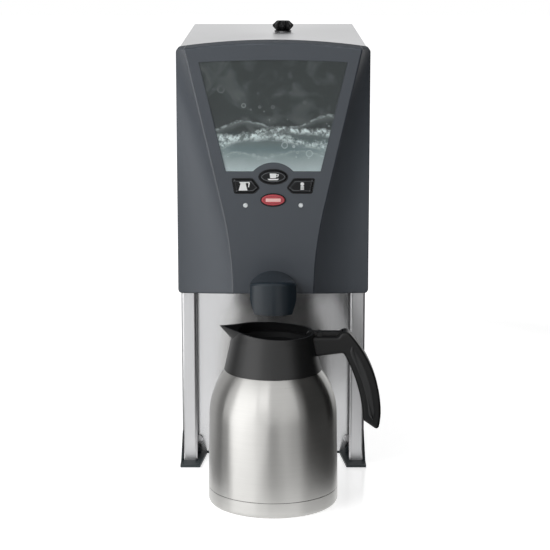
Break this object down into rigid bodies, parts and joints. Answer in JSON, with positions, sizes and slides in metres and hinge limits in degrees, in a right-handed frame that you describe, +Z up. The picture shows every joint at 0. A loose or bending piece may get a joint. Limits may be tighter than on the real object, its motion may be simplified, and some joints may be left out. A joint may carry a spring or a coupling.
{
  "type": "hot beverage dispenser",
  "caption": "Counter top hot beverage dispenser in stainless sheet with a dark moulded front panel, push buttons, a picture window, a spout and a steel vacuum jug.",
  "frame": {"origin": "on the counter, under the middle of the steel housing", "axes": "+X to the user's right, +Y towards the back of the dispenser, +Z up"},
  "size_m": [0.2114, 0.6105, 0.4682],
  "materials": {
    "stainless_sheet": "satin",
    "grey_moulding": "satin",
    "spout_moulding": "satin",
    "black_moulding": "satin",
    "button_black": "gloss",
    "button_red": "gloss",
    "lamp_clear": "gloss",
    "printed_film": "gloss",
    "clear_window": "gloss",
    "jug_steel": "satin",
    "tank_steel": "satin",
    "screw_steel": "satin",
    "circuit_board": "satin",
    "silicone_rubber": "matte",
    "seal_rubber": "matte",
    "foam_jacket": "matte",
    "brass_body": "satin",
    "coil_resin": "satin",
    "core_iron": "satin",
    "heat_sink_aluminium": "satin",
    "white_ceramic": "gloss"
  },
  "bodies": {
    "dispenser": {"base_tray": "black_moulding", "right_side_panel": "stainless_sheet", "left_side_panel": "stainless_sheet", "top_cover": "stainless_sheet", "rear_panel": "stainless_sheet", "splash_panel": "stainless_sheet", "equipment_shelf": "stainless_sheet", "front_panel": "grey_moulding", "panel_screws": "screw_steel", "picture_insert": "printed_film", "display_window": "clear_window", "lamp_lenses": "lamp_clear", "control_board": "circuit_board", "push_switches": "coil_resin", "spout_cover": "spout_moulding", "outlet_nozzle": "black_moulding", "boiler_tank": "tank_steel", "lid_gasket": "seal_rubber", "boiler_lid": "tank_steel", "lid_bolts": "screw_steel", "insulation_jacket": "foam_jacket", "heating_element": "tank_steel", "level_probes": "white_ceramic", "thermal_cutout": "coil_resin", "filler_neck": "tank_steel", "outlet_valve": "brass_body", "outlet_coil": "coil_resin", "inlet_valve": "brass_body", "inlet_coil": "coil_resin", "outlet_hose": "silicone_rubber", "fill_hose": "silicone_rubber", "mains_inlet": "coil_resin", "power_board": "circuit_board", "transformer": "core_iron", "relay_heat_sink": "heat_sink_aluminium", "foot_clips": "black_moulding", "splash_screws": "screw_steel"},
    "jug_button": {"jug_button": "button_black"},
    "cup_button": {"cup_button": "button_black"},
    "column_button": {"column_button": "button_black"},
    "stop_button": {"stop_button": "button_red"},
    "plug": {"filler_plug": "black_moulding", "plug_seal": "seal_rubber"},
    "star_cap": {"star_cap": "black_moulding"},
    "outlet_plunger": {"outlet_plunger": "core_iron"},
    "inlet_plunger": {"inlet_plunger": "core_iron"},
    "jug": {"jug_body": "jug_steel", "inner_flask": "jug_steel", "jug_base_cap": "jug_steel", "jug_collar": "black_moulding", "jug_lid": "black_moulding", "lid_funnel": "black_moulding", "jug_handle": "black_moulding", "lever_pin": "screw_steel"},
    "thumb_lever": {"thumb_lever": "black_moulding"}
  },
  "joints": [
    {"name": "jug_button_push", "type": "slide", "parent": "dispenser", "child": "jug_button", "axis": [0, 1, 0], "range_m": [0, 0.0015], "stiffness_N_per_m": 400, "springref_m": -0.0005},
    {"name": "cup_button_push", "type": "slide", "parent": "dispenser", "child": "cup_button", "axis": [0, 1, 0], "range_m": [0, 0.0015], "stiffness_N_per_m": 400, "springref_m": -0.0005},
    {"name": "column_button_push", "type": "slide", "parent": "dispenser", "child": "column_button", "axis": [0, 1, 0], "range_m": [0, 0.0015], "stiffness_N_per_m": 400, "springref_m": -0.0005},
    {"name": "stop_button_push", "type": "slide", "parent": "dispenser", "child": "stop_button", "axis": [0, 1, 0], "range_m": [0, 0.0015], "stiffness_N_per_m": 400, "springref_m": -0.0005},
    {"name": "plug_lift", "type": "slide", "parent": "dispenser", "child": "plug", "axis": [0, 0, 1], "range_m": [0, 0.04]},
    {"name": "star_cap_turn", "type": "hinge", "parent": "plug", "child": "star_cap", "pos_m": [0.0114, 0.055, 0.46], "axis": [0, 0, 1], "range_deg": [0, 90]},
    {"name": "outlet_plunger_lift", "type": "slide", "parent": "dispenser", "child": "outlet_plunger", "axis": [0, 0, 1], "range_m": [0, 0.003], "stiffness_N_per_m": 150, "springref_m": -0.001},
    {"name": "inlet_plunger_lift", "type": "slide", "parent": "dispenser", "child": "inlet_plunger", "axis": [0, 0, 1], "range_m": [0, 0.003], "stiffness_N_per_m": 150, "springref_m": -0.001},
    {"name": "jug_pull_out", "type": "slide", "parent": "dispenser", "child": "jug", "axis": [0, -1, 0], "range_m": [0, 0.2]},
    {"name": "thumb_lever_tip", "type": "hinge", "parent": "jug", "child": "thumb_lever", "pos_m": [0.047, -0.326, 0.1761], "axis": [0, 1, 0], "range_deg": [0, 6], "stiffness_Nm_per_rad": 0.1, "springref_deg": -1.72}
  ]
}
